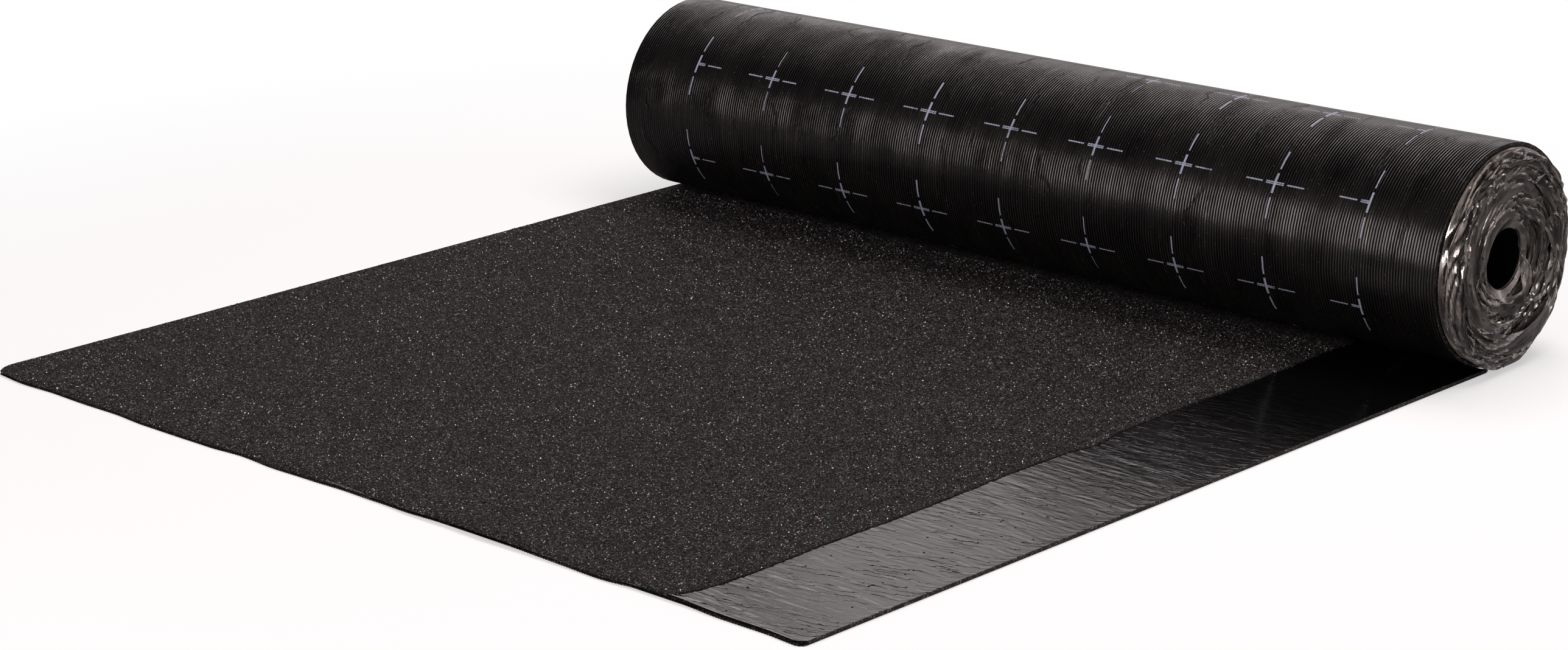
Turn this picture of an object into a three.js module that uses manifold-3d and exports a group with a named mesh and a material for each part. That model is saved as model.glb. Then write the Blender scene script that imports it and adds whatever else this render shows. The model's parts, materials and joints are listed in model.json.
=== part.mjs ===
// A part-used roll of mineral-surfaced roofing felt with its free end rolled out flat.
// One sheet, wound into a spiral roll, and a crumpled release film at the roll's right end.
// Millimetres, +Z up. X runs along the roll, the flat tail points to -Y.

import * as THREE from 'three';
import { mergeVertices } from 'three/addons/utils/BufferGeometryUtils.js';
import Module from 'manifold-3d';

const wasm = await Module();
wasm.setup();

// ---------------------------------------------------------------- driving dimensions

const sheetWidth = 1000;
const sheetThickness = 5;        // with its mineral granules
const tailLength = 935;          // from the roll's axis to the cut end, at mid width
const cutOutOfSquare = 10.5;     // the cut end runs forward by this at +X, back at -X
const cornerRadius = 9;          // worn corners of the cut end
const cutEdgeRound = 1.2;        // softened top edge of the cut end
const waveReach = 300;           // the cut end's waves have died away this far in from it

const rollRadius = 105.1;        // at mid width, over the top of the roll
const rollTaper = 4.4;           // the roll is fatter by this at +X and thinner at -X
const rollAxisHeight = 101.6;    // lower than the radius: the roll sags under its weight
const boreRadius = 29;
const boreShiftY = -5;           // the bore lies a little off the roll's axis
const boreShiftZ = 6;

const selvedgeWidth = 131;       // bare strip along +X, where the next sheet laps over
const selvedgeRecess = 0.9;      // depth of the strip below the granules
const selvedgeStep = 0.6;        // width of the slope between granules and strip
const selvedgeEnd = 17;          // the strip runs in under the roll to here, from its axis

const grooveWidth = 0.9;         // gap that shows between two turns on the roll's ends
const grooveDepth = 3;

const filmReach = 21;            // how far the crumpled release film stands out of the roll
const filmRimInset = 1.5;        // film stays this far inside the roll's rim
const filmBoreInset = 1;         // and this far outside the bore
const seatGap = 0.3;             // clearance between the film and the roll's end

// ---------------------------------------------------------------- facet counts

const rollFacets = 96;
const grooveSagitta = 0.45;      // how far a groove's straight runs may cut its curve
const filmSides = 64;
const filmRings = 13;

const halfWidth = sheetWidth / 2;
const fullTurn = 2 * Math.PI;

// ---------------------------------------------------------------- closed surfaces

// A closed surface through equal rings of points. A looped loft joins its last ring to its
// first. Any other gets flat ends, and its first and last rings face along X.
function loft(rings, { looped = false } = {}) {
  const size = rings[0].length;
  const vertices = rings.flat();
  const faces = [];
  const spans = looped ? rings.length : rings.length - 1;
  for (let i = 0; i < spans; i++) {
    const here = i * size;
    const next = ((i + 1) % rings.length) * size;
    for (let j = 0; j < size; j++) {
      const k = (j + 1) % size;
      faces.push([here + j, next + j, next + k], [here + j, next + k, here + k]);
    }
  }
  if (!looped) {
    const last = (rings.length - 1) * size;
    const flat = (ring) => ring.map((p) => new THREE.Vector2(p.y, p.z));
    const endFaces = (ring) => THREE.ShapeUtils.triangulateShape(flat(ring), []);
    faces.push(...endFaces(rings[0]));
    for (const [a, b, c] of endFaces(rings.at(-1))) faces.push([last + a, last + c, last + b]);
  }
  return surface(vertices, faces);
}

// A geometry from points and faces, turned so that its faces point out.
function surface(vertices, faces) {
  let volume = 0;
  for (const [a, b, c] of faces) {
    volume += vertices[a].dot(new THREE.Vector3().crossVectors(vertices[b], vertices[c]));
  }
  const order = volume < 0 ? ([a, b, c]) => [a, c, b] : (face) => face;
  const geometry = new THREE.BufferGeometry();
  const positions = vertices.flatMap((p) => [p.x, p.y, p.z]);
  geometry.setAttribute('position', new THREE.Float32BufferAttribute(positions, 3));
  geometry.setIndex(faces.flatMap(order));
  return geometry;
}

function toSolid(geometry) {
  const merged = mergeVertices(geometry, 1e-4);
  return new wasm.Manifold(new wasm.Mesh({
    numProp: 3,
    vertProperties: new Float32Array(merged.attributes.position.array),
    triVerts: new Uint32Array(merged.index.array),
  }));
}

function toGeometry(solid) {
  const mesh = solid.getMesh();
  const geometry = new THREE.BufferGeometry();
  geometry.setAttribute('position', new THREE.Float32BufferAttribute(mesh.vertProperties, 3));
  geometry.setIndex([...mesh.triVerts]);
  return geometry;
}

// ---------------------------------------------------------------- the wound sheet

const turnCount = Math.round((rollRadius - boreRadius) / sheetThickness);

// The sheet's outer face, where it leaves the floor. Over the top of the roll it has
// already come in by the part of a turn that it has wound.
const topTurn = 0.625;
function outerRadius(x) {
  return rollRadius + (rollTaper * x) / halfWidth + topTurn * sheetThickness;
}

// A point of the wound sheet's outer face, after a number of turns counted from the
// bottom of the roll, up its back, over the top and down its front. The turns drift from
// the roll's axis to the bore's, and below the axis they are flattened by the weight.
function woundPoint(turn, x, inset = 0) {
  const outer = outerRadius(x);
  const inward = turn / turnCount;
  const radius = outer + (boreRadius - outer) * inward - inset;
  const sag = 1 + (rollAxisHeight / outer - 1) * (1 - inward);
  const angle = fullTurn * turn;
  const up = -radius * Math.cos(angle);
  const y = boreShiftY * inward + radius * Math.sin(angle);
  const z = rollAxisHeight + boreShiftZ * inward + (up < 0 ? up * sag : up);
  return new THREE.Vector3(x, y, z);
}

// The turn at which the roll comes down onto the top of its own tail.
function nipTurn(x) {
  let low = 0.75;
  let high = 1;
  for (let i = 0; i < 40; i++) {
    const middle = (low + high) / 2;
    if (woundPoint(middle, x).z > sheetThickness) low = middle;
    else high = middle;
  }
  return low;
}

// Section of the roll, closed through its own tail, from the nip back to the floor.
function rollSection(x) {
  const nip = nipTurn(x);
  const points = [];
  for (let i = 0; i <= rollFacets; i++) points.push(woundPoint((nip * i) / rollFacets, x));
  return points;
}

// The bore: the inner face of the last turn, with the sheet's cut end as a step in it.
function boreSection(x) {
  const points = [];
  const sides = rollFacets / 2;
  for (let i = 0; i <= sides; i++) points.push(woundPoint(turnCount - 1 + i / sides, x));
  return points;
}

// The gap between the turns, as a V cut into the end of the roll at x = +-halfWidth.
function turnGroove(side) {
  const face = side * halfWidth;
  const rings = [];
  const last = turnCount - 1 + 0.01;
  let turn = nipTurn(face) - 0.004;
  while (true) {
    const at = woundPoint(turn, face);
    const ahead = woundPoint(turn + 0.001, face).sub(woundPoint(turn - 0.001, face)).normalize();
    const across = new THREE.Vector3(0, -ahead.z, ahead.y);
    rings.push([
      at.clone().addScaledVector(across, grooveWidth / 2),
      at.clone().addScaledVector(across, -grooveWidth / 2),
      at.clone().setX(face - side * grooveDepth),
    ]);
    if (turn >= last) break;
    const radius = outerRadius(face) + ((boreRadius - outerRadius(face)) * turn) / turnCount;
    turn = Math.min(last, turn + (2 * Math.acos(1 - grooveSagitta / radius)) / fullTurn);
  }
  return groovePrism(rings);
}

// A prism of triangular section along a run of rings.
function groovePrism(rings) {
  const vertices = rings.flat();
  const faces = [[0, 2, 1]];
  for (let i = 0; i + 1 < rings.length; i++) {
    for (let j = 0; j < 3; j++) {
      const [a, b] = [3 * i + j, 3 * i + ((j + 1) % 3)];
      faces.push([a, b, b + 3], [a, b + 3, a + 3]);
    }
  }
  const end = 3 * (rings.length - 1);
  faces.push([end, end + 1, end + 2]);
  return surface(vertices, faces);
}

// ---------------------------------------------------------------- the flat tail

const bump = (value, centre, spread) => Math.exp(-(((value - centre) / spread) ** 2));

// The cut end: its place along Y, and how high it stands off the floor.
function cutEdge(x) {
  const intoCorner = Math.max(0, cornerRadius - (halfWidth - Math.abs(x)));
  const rounding = cornerRadius - Math.sqrt(cornerRadius ** 2 - intoCorner ** 2);
  return -tailLength - (cutOutOfSquare * x) / halfWidth + rounding;
}
const waves = [
  { height: 2.6, x: 0.28, spread: 0.18 },
  { height: 1.5, x: 0.69, spread: 0.09 },
  { height: 0.7, x: -1, spread: 0.12 },
];
function lift(x, fromCut) {
  const crest = waves.reduce(
    (sum, wave) => sum + wave.height * bump(x / halfWidth, wave.x, wave.spread), 0);
  return crest * Math.max(0, 1 - fromCut / waveReach) ** 2;
}

// Where the granules stop, as a distance from mid width. The line wanders by a few
// millimetres and draws in at the cut end.
function granuleEdge(fromCut) {
  const drawIn = -13 * Math.exp(-fromCut / 24);
  const drift = 2 - 0.0085 * fromCut;
  const nick = 6 * bump(fromCut, 516, 24);
  return halfWidth - selvedgeWidth + drawIn + drift + nick + 1.1 * Math.sin(fromCut / 37);
}

// Distances from the cut end at which the tail has points: on top as shares of the tail's
// length, and below as shares of the waves' reach.
const topShares = [0.013, 0.03, 0.055, 0.085, 0.13, 0.19, 0.27, 0.36, 0.45, 0.52, 0.55, 0.58,
  0.66, 0.76, 0.87];
const waveShares = [0.12, 0.27, 0.45, 0.68, 1];

// One section of the tail. Past the granules its top is lower by the selvedge's recess.
function tailSection(x, bare) {
  const edge = cutEdge(x);
  const top = sheetThickness - (bare ? selvedgeRecess : 0);
  const at = (fromCut, z) => new THREE.Vector3(x, edge + fromCut, z + lift(x, fromCut));
  const underside = waveShares.map((share) => at(share * waveReach, 0));
  const face = topShares.map((share) => at(share * tailLength, top)).reverse();
  return [
    at(0, 0),
    ...underside,
    new THREE.Vector3(x, 0, 0),
    new THREE.Vector3(x, 0, sheetThickness),
    new THREE.Vector3(x, -selvedgeEnd + 1, sheetThickness),
    new THREE.Vector3(x, -selvedgeEnd, top),
    ...face,
    at(2 * cutEdgeRound, top),
    at(0.3 * cutEdgeRound, top - cutEdgeRound),
  ];
}

// Stations across the sheet: close together in the worn corners, even in between.
function tailStations() {
  const corner = [0, 0.12, 0.45, 1].map((share) => halfWidth - share * cornerRadius);
  const inner = [];
  const count = 22;
  for (let i = 1; i < count; i++) {
    inner.push((2 * i / count - 1) * (halfWidth - cornerRadius));
  }
  const granuleLine = halfWidth - selvedgeWidth;
  const clear = inner.filter((x) => Math.abs(x - granuleLine) > 22);
  return {
    granules: [...corner.map((x) => -x), ...clear.filter((x) => x < granuleLine)],
    strip: [...clear.filter((x) => x > granuleLine), ...corner.reverse()],
  };
}

function buildTail() {
  const { granules, strip } = tailStations();
  const alongLine = (offset, bare) => {
    const section = tailSection(halfWidth - selvedgeWidth, bare);
    for (const point of section) {
      const fromCut = point.y - cutEdge(halfWidth - selvedgeWidth);
      point.x = granuleEdge(fromCut) + offset;
    }
    return section;
  };
  const sections = [
    ...granules.map((x) => tailSection(x, false)),
    alongLine(-selvedgeStep / 2, false),
    alongLine(selvedgeStep / 2, true),
    ...strip.map((x) => tailSection(x, true)),
  ];
  return loft(sections);
}

// ---------------------------------------------------------------- the pieces

function buildSheet() {
  const ends = [-halfWidth, halfWidth];
  const roll = toSolid(loft(ends.map((x) => rollSection(x))));
  const bore = toSolid(loft(ends.map((x) => boreSection(x))));
  const sheet = roll.add(toSolid(buildTail())).subtract(bore);
  return toGeometry(sheet.subtract(toSolid(turnGroove(-1))).subtract(toSolid(turnGroove(1))));
}

// The release film that overhangs the selvedge, crushed against the end of the roll: a
// ring from the bore to the rim whose face is folded round the roll and pleated across.
function buildFilm() {
  const back = halfWidth + seatGap;
  const foldCount = 5;
  const sections = [];
  for (let i = 0; i < filmSides; i++) {
    const turn = i / filmSides;
    const angle = fullTurn * turn;
    const rim = woundPoint(turn, halfWidth, filmRimInset + sheetThickness * (1 - turn));
    const lip = woundPoint(turnCount - 1 + turn, halfWidth, -filmBoreInset - sheetThickness * turn);
    const at = (share, height) => {
      const point = lip.clone().lerp(rim, share);
      return point.setX(back + height);
    };
    const front = [];
    for (let j = 0; j <= filmRings; j++) {
      const share = j / filmRings;
      const dome = 0.36 + 0.5 * Math.sin(Math.PI * (0.1 + 0.82 * share)) ** 0.8;
      const fold = Math.cos(fullTurn * (foldCount * share + turn + 0.1 * Math.sin(3 * angle)));
      const pleat = Math.sin(11 * angle + 5 * share);
      const height = dome + 0.1 * fold + 0.04 * pleat;
      front.push(at(share, (filmReach - seatGap) * Math.min(1, height) * (share === 1 ? 0.5 : 1)));
    }
    sections.push([at(0, 0), ...front, at(1, 0), at(0.5, 0)]);
  }
  return loft(sections, { looped: true });
}

const felt = new THREE.MeshStandardMaterial({ color: 0x2c2a2b, roughness: 0.6, metalness: 0 });
const film = new THREE.MeshStandardMaterial({ color: 0x5a5654, roughness: 0.25, metalness: 0 });

const part = new THREE.Group();
function addPiece(name, geometry, material) {
  const mesh = new THREE.Mesh(geometry, material);
  mesh.name = name;
  part.add(mesh);
}
addPiece('felt_sheet', buildSheet(), felt);
addPiece('release_film', buildFilm(), film);

// The origin is on the floor, under the middle of the whole part.
const extent = new THREE.Box3().setFromObject(part);
const middle = extent.getCenter(new THREE.Vector3());
part.position.set(-middle.x, -middle.y, -extent.min.z);

export default part;
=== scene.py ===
"""The looks of a part-used roll of mineral roofing felt, with its free end rolled out flat.

One sheet is wound into a spiral roll. Its ribbed, printed back is the roll's outer face, and
the free end lies granules up, with a bare glossy strip along its right-hand edge for the next
sheet to lap over. The film that keeps that strip clean is crumpled over the roll's right end.
"""
import json
import math

import bpy
import numpy as np
from mathutils import Matrix, Vector

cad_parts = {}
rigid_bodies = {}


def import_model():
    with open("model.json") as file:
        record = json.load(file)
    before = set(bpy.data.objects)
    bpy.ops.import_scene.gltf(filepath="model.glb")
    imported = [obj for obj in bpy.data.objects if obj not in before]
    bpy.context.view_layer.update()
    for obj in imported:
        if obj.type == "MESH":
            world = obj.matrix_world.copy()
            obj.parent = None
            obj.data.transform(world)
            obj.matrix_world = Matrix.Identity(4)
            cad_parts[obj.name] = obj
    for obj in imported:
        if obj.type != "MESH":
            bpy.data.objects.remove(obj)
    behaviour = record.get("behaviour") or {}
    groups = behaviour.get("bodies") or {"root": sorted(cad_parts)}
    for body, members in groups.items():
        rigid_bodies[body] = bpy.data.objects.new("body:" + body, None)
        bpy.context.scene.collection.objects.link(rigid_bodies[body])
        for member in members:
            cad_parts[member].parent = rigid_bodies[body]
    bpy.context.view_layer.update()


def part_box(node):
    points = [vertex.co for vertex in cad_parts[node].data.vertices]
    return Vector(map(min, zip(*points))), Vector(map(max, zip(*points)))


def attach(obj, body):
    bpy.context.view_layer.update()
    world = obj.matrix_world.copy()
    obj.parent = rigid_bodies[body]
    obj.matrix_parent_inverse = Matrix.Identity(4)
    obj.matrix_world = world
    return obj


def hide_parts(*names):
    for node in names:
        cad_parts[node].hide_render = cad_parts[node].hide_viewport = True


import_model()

MM = 0.001
TAU = 2 * math.pi

# ---------------------------------------------------------------- sizes, as in the CAD model

HALF_WIDTH = 500 * MM
SHEET_THICKNESS = 5 * MM
TAIL_LENGTH = 935 * MM  # from the roll's axis to the cut end, at mid width
CUT_OUT_OF_SQUARE = 10.5 * MM
CORNER_RADIUS = 9 * MM
WAVE_REACH = 300 * MM
# Each wave's height, and its place and spread as shares of half the width.
WAVES = [(2.6 * MM, 0.28, 0.18), (1.5 * MM, 0.69, 0.09), (0.7 * MM, -1, 0.12)]

ROLL_RADIUS = 105.1 * MM
ROLL_TAPER = 4.4 * MM
ROLL_AXIS_HEIGHT = 101.6 * MM
BORE_RADIUS = 29 * MM
BORE_SHIFT = (-5 * MM, 6 * MM)
TURN_COUNT = round((ROLL_RADIUS - BORE_RADIUS) / SHEET_THICKNESS)
TOP_TURN = 0.625  # the part of a turn that the sheet has wound over the top of the roll

SELVEDGE_WIDTH = 131 * MM
SELVEDGE_RECESS = 0.9 * MM
SEAT_GAP = 0.3 * MM
FILM_REACH = 21 * MM

# The frame is centred on the whole part, and these give the roll's own middle in it.
sheet_low, sheet_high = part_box("felt_sheet")
MID_X = (sheet_low.x + sheet_high.x) / 2
AXIS_Y = sheet_low.y + TAIL_LENGTH + CUT_OUT_OF_SQUARE * (1 - CORNER_RADIUS / HALF_WIDTH)

# ---------------------------------------------------------------- the camera

CAMERA_PLACE = Vector((2.359405, -2.631351, 1.083842))
CAMERA_YAW, CAMERA_PITCH, CAMERA_ROLL = 0.745, 0.284, -0.003  # radians
SENSOR_WIDTH, LENS = 36, 92.99  # mm
LENS_SHIFT = (0.03325, -0.0102)  # shares of the picture's width
CLIP_START, CLIP_END = 0.05, 60


def add_camera():
    data = bpy.data.cameras.new("photo_camera")
    data.sensor_width, data.lens = SENSOR_WIDTH, LENS
    data.shift_x, data.shift_y = LENS_SHIFT
    data.clip_start, data.clip_end = CLIP_START, CLIP_END
    turn = (
        Matrix.Rotation(CAMERA_YAW, 4, "Z")
        @ Matrix.Rotation(math.pi / 2 - CAMERA_PITCH, 4, "X")
        @ Matrix.Rotation(CAMERA_ROLL, 4, "Z")
    )
    camera = bpy.data.objects.new("photo_camera", data)
    camera.matrix_world = Matrix.Translation(CAMERA_PLACE) @ turn
    bpy.context.scene.collection.objects.link(camera)
    bpy.context.scene.camera = camera


add_camera()

# ---------------------------------------------------------------- shader graphs


class Wire:
    """A number in a graph. Arithmetic on it adds Math nodes."""

    def __init__(self, graph, socket):
        self.graph, self.socket = graph, socket

    def math(self, operation, *others):
        inputs = dict(enumerate([self, *others]))
        node = self.graph.add("ShaderNodeMath", inputs, operation=operation)
        return Wire(self.graph, node.outputs[0])

    def __add__(self, other):
        return self.math("ADD", other)

    def __sub__(self, other):
        return self.math("SUBTRACT", other)

    def __mul__(self, other):
        return self.math("MULTIPLY", other)

    def abs(self):
        return self.math("ABSOLUTE")

    def off_nearest(self, pitch):
        """How far the number is from the nearest multiple of pitch, from -pitch/2 to pitch/2."""
        return self.math("WRAP", pitch / 2, -pitch / 2)

    def ramp(self, low, high, start=0.0, end=1.0):
        """start where the number is under low, end where it is over high, smooth between."""
        inputs = {"Value": self, "From Min": low, "From Max": high, "To Min": start, "To Max": end}
        node = self.graph.add("ShaderNodeMapRange", inputs, interpolation_type="SMOOTHSTEP")
        return Wire(self.graph, node.outputs["Result"])

    def under(self, limit, soft=0.12):
        return self.ramp(limit - soft, limit + soft, 1.0, 0.0)

    def over(self, limit, soft=0.12):
        return self.ramp(limit - soft, limit + soft)

    def either(self, other):
        return self.math("MAXIMUM", other)


MIX_SHARE, MIX_LOW, MIX_HIGH, MIX_RESULT = 0, 6, 7, 2  # a Mix node's sockets for colours


class Graph:
    """A material's or the world's nodes. An input is a value or another node's output."""

    def __init__(self, owner):
        owner.use_nodes = True
        self.tree = owner.node_tree
        self.tree.nodes.clear()

    def add(self, kind, inputs=(), **settings):
        node = self.tree.nodes.new(kind)
        for key, value in settings.items():
            setattr(node, key, value)
        for key, value in dict(inputs).items():
            value = getattr(value, "socket", value)
            if isinstance(value, bpy.types.NodeSocket):
                self.tree.links.new(value, node.inputs[key])
            else:
                node.inputs[key].default_value = value
        return node

    def split(self, vector):
        node = self.add("ShaderNodeSeparateXYZ", {0: vector})
        return [Wire(self, output) for output in node.outputs]

    def sheet(self):
        """Place on the sheet in millimetres, as (vector, across, along, a number for looks)."""
        node = self.add("ShaderNodeAttribute", attribute_name="sheet")
        return node.outputs["Vector"], *self.split(node.outputs["Vector"])

    def scaled(self, vector, size):
        """The vector in units of size: one number, or one across and one along (and a third)."""
        sizes = (*size, 1)[:3] if isinstance(size, tuple) else (size,) * 3
        factors = tuple(1 / s for s in sizes)
        node = self.add("ShaderNodeVectorMath", {0: vector, 1: factors}, operation="MULTIPLY")
        return node.outputs[0]

    def noise(self, vector, size, detail=2.0, roughness=0.5):
        inputs = {"Vector": self.scaled(vector, size), "Scale": 1.0, "Detail": detail}
        node = self.add("ShaderNodeTexNoise", {**inputs, "Roughness": roughness})
        return Wire(self, node.outputs["Fac"])

    def cells(self, vector, size, **settings):
        """Voronoi cells: (distance from the cell's point, three random numbers of the cell)."""
        node = self.add(
            "ShaderNodeTexVoronoi", {"Vector": self.scaled(vector, size), "Scale": 1.0}, **settings
        )
        return Wire(self, node.outputs["Distance"]), self.split(node.outputs["Color"])

    def mix(self, share, low, high):
        inputs = {MIX_SHARE: share, MIX_LOW: low, MIX_HIGH: high}
        return self.add("ShaderNodeMix", inputs, data_type="RGBA").outputs[MIX_RESULT]

    def bump(self, height, distance, strength=1.0, under=None):
        inputs = {"Height": height, "Distance": distance, "Strength": strength}
        if under is not None:
            inputs["Normal"] = under
        return self.add("ShaderNodeBump", inputs).outputs[0]

    def finish(self, shader, kind="ShaderNodeOutputMaterial"):
        self.add(kind, {"Surface": shader.outputs[0]})

    def principled(self, inputs):
        return self.add("ShaderNodeBsdfPrincipled", inputs)


def shade(red, green, blue):
    """A colour from its numbers as seen on a screen, 0 to 255."""
    screen = [value / 255 for value in (red, green, blue)]
    return (*[v / 12.92 if v < 0.04045 else ((v + 0.055) / 1.055) ** 2.4 for v in screen], 1)


def material(name):
    made = bpy.data.materials.new(name)
    return made, Graph(made)


def specks_in(graph, place, spacing, size, least):
    """1 on small round specks, in those cells whose own random number is over least."""
    far, chance = graph.cells(place, spacing, voronoi_dimensions="2D")
    return far.under(size, 0.02) * chance[0].over(least, 0.02)


# ---------------------------------------------------------------- the materials

MARK_PITCH_ACROSS, MARK_PITCH_ALONG = 103.707, 104.672  # mm
MARK_SHIFT_ACROSS, MARK_SHIFT_ALONG = 2.86, 62.27
MARKS_EACH_SIDE = 4
T_MARK_REACH = 1.2  # how far a T mark's bar stands out past its stroke's middle
BARE_ROW, BARE_MIDDLE = 1, -1.5  # where print is left out, in steps of the grid
BARE_COLUMNS = 4

# A mark's bars, each as half its width, its start and its end, in mm: a thick stroke and a
# thin one along the sheet, and a double bar and a dash across it.
STROKES = [(1.15, 0, 9.9), (0.72, 14.3, 33.9)]
ARMS = [(1.45, 0, 9.7), (0.72, 13.7, 32.4)]
DOUBLE_BAR_GAP = 0.25  # half of it


def bar(off_line, off_middle, size):
    """1 on the two bars that lie on a line, one to each side of its middle."""
    half_width, start, end = size
    shape = off_line.under(half_width) * off_middle.under(end)
    return shape * off_middle.over(start) if start else shape


def printed_marks(across, along, crest):
    """1 where the back's grid of crosses is printed. The outermost of each row are T marks."""
    from_middle = across - MARK_SHIFT_ACROSS
    column = (
        (from_middle * (1 / MARK_PITCH_ACROSS)).math("ROUND")
        .math("MINIMUM", MARKS_EACH_SIDE).math("MAXIMUM", -MARKS_EACH_SIDE)
    )
    across_off = (from_middle - column * MARK_PITCH_ACROSS).abs()
    along_off = (along - MARK_SHIFT_ALONG).off_nearest(MARK_PITCH_ALONG).abs()

    thick_stroke, thin_stroke = [bar(across_off, along_off, size) for size in STROKES]
    double_bar, dash = [bar(along_off, across_off, size) for size in ARMS]
    double_bar = double_bar * along_off.over(DOUBLE_BAR_GAP)
    inside = from_middle.abs().under(MARKS_EACH_SIDE * MARK_PITCH_ACROSS + T_MARK_REACH)
    arms = double_bar.either(dash) * inside * crest.ramp(0.05, 0.35)
    bare_along = along - BARE_ROW * MARK_PITCH_ALONG - MARK_SHIFT_ALONG
    bare_across = from_middle - BARE_MIDDLE * MARK_PITCH_ACROSS
    bare = (
        bare_along.abs().under(MARK_PITCH_ALONG / 2)
        * bare_across.abs().under(BARE_COLUMNS / 2 * MARK_PITCH_ACROSS)
    )
    return thick_stroke.either(thin_stroke).either(arms) * bare.ramp(0, 1, 1, 0)


BLACK = shade(1, 1, 1)
BITUMEN, BROWN_BITUMEN, BITUMEN_GROOVE_SHADE = shade(5, 5, 5), shade(11, 9, 8), shade(3, 3, 3)
SCUFF_AND_SHEEN, DUST, PRINT = shade(58, 51, 45), shade(120, 112, 104), shade(144, 151, 168)
CREASE_PITCH = 44  # mm


def creases_in(graph, place, across, along):
    """1 along the long thin creases that run round the roll, broken here and there."""
    waver = graph.noise(place, (90, 34), 2, 0.4)
    crease = ((across + along * 0.06) * (1 / CREASE_PITCH) + waver * 1.3).off_nearest(1.0)
    creased = graph.noise(place, (26, 62), 1).ramp(0.5, 0.58)
    return crease.abs().ramp(0.0, 0.045, 1.0, 0.0) * creased


def make_back():
    """The ribbed back: glossy black bitumen under a thin film, printed with marks."""
    made, graph = material("ribbed_back")
    place, across, along, crest = graph.sheet()
    mottle = graph.noise(place, (30, 45), 3)
    rib = graph.noise(place, (3.4, 90), 2, 0.7)  # each rib is a little different
    creases = creases_in(graph, place, across, along)
    # Lighter streaks on some ribs: partly real scuffs, partly a painted highlight in the base
    # colour.
    scuffs_and_sheen = rib.ramp(0.55, 0.7) * graph.noise(place, (24, 34), 2).ramp(0.58, 0.68)
    rubbed = graph.noise(place, (4.5, 120), 1).ramp(0.6, 0.68)
    rubbed = rubbed * graph.noise(place, (70, 30), 2).ramp(0.52, 0.6)
    specks = specks_in(graph, place, 9.0, 0.035, 0.72)
    print_left = graph.noise(place, 1.3, 2).ramp(0.26, 0.4)
    printed = printed_marks(across, along, crest) * print_left

    tone = graph.mix(mottle.ramp(0.35, 0.7), BITUMEN, BROWN_BITUMEN)
    # Painted shade: the ribs' grooves, and the inner turns that little light reaches, are darkened
    # to near black.
    tone = graph.mix(crest.ramp(0.0, 0.6, 0.85, 0.0), tone, BITUMEN_GROOVE_SHADE)
    tone = graph.mix(scuffs_and_sheen * 0.35, tone, SCUFF_AND_SHEEN)
    tone = graph.mix(specks * 0.7, tone, DUST)
    tone = graph.mix(printed, tone, PRINT)

    grain = graph.noise(place, (1.5, 1.2), 2)
    hollow = crest.ramp(0.05, 0.55, 0.8, 0.0)
    dull = (printed * 0.5).either(hollow)
    gloss = rib.ramp(0.3, 0.7, 0.36, 0.56) * mottle.ramp(0.3, 0.65, 0.75, 1.1) + rubbed * 0.5
    height = grain * 0.12 - creases + mottle * 0.5
    # Painted shade: the base colour is darkened to black along the creases.
    graph.finish(graph.principled({
        "Base Color": graph.mix(creases * 0.8, tone, BLACK),
        "Roughness": (mottle * 0.2 + rib * 0.06 + 0.07).either(dull),
        "Specular IOR Level": gloss * (creases * -0.85 + 1.0),
        "Specular Tint": (1, 0.97, 0.94, 1),
        "Normal": graph.bump(height, 0.6 * MM, 0.8),
    }))
    return made


GRAIN_SIZE, FINE_GRAIN_SIZE = 1.05, 0.6  # mm


def make_granules():
    """Crushed slate under the chips: close-set dark grains, a few of them brown or pale."""
    made, graph = material("mineral_granules")
    place, *_, lit_share = graph.sheet()
    far, grain = graph.cells(place, GRAIN_SIZE, voronoi_dimensions="2D")
    fine_far, fine = graph.cells(place, FINE_GRAIN_SIZE, voronoi_dimensions="2D")
    tone = graph.mix(grain[0] * grain[0], shade(10, 10, 10), shade(44, 44, 45))
    for share, colour in [
        (grain[1].over(0.92, 0.02), shade(72, 60, 51)),
        (grain[2].over(0.95, 0.01), shade(104, 106, 108)),
        (fine[0].over(0.95, 0.01), shade(88, 90, 92)),
        (fine[1].over(0.97, 0.01), shade(104, 88, 76)),
    ]:
        tone = graph.mix(share, tone, colour)
    # Painted shade: the granules of the inner turns, where little light reaches, are darkened to
    # near black.
    tone = graph.mix(lit_share, shade(4, 4, 5), tone)
    patches = graph.noise(place, 38.0, 3)
    tone = graph.mix(patches.ramp(0.35, 0.75, 0.0, 0.3), tone, shade(20, 20, 21))
    height = far.ramp(0.0, 0.75, 1.0, 0.0) + fine_far.ramp(0.0, 0.7, 0.35, 0.0)
    graph.finish(graph.principled({
        "Base Color": tone,
        "Roughness": grain[1] * 0.3 + 0.6,
        "Specular IOR Level": 0.06,
        "Normal": graph.bump(height, 0.5 * MM, 0.9),
    }))
    return made


def make_chips():
    """Slate chips: grey, some of them brown and a few nearly white, with faces that glint."""
    made, graph = material("slate_chips")
    *_, chance = graph.sheet()
    tone = graph.mix(chance * chance, shade(18, 18, 19), shade(104, 105, 107))
    for least, soft, colour in [
        (0.84, 0.01, shade(120, 98, 86)),
        (0.91, 0.01, shade(152, 151, 153)),
        (0.986, 0.004, shade(236, 229, 226)),
    ]:
        tone = graph.mix(chance.over(least, soft), tone, colour)
    graph.finish(graph.principled({
        "Base Color": tone, "Roughness": 0.5, "Specular IOR Level": 0.3,
    }))
    return made


STRIP_BITUMEN = shade(7, 7, 7)
HANDLED = (885.0, 925.0)  # mm along the tail: the strip grows duller from here to here


# Two kinds of wrinkles: pitch in mm, slant, bend, width in mm, least noise that shows them.
WRINKLES = [(9.5, 0.3, 2.2, 0.8, 0.42), (6.1, 0.22, 1.8, 0.6, 0.52)]


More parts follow.
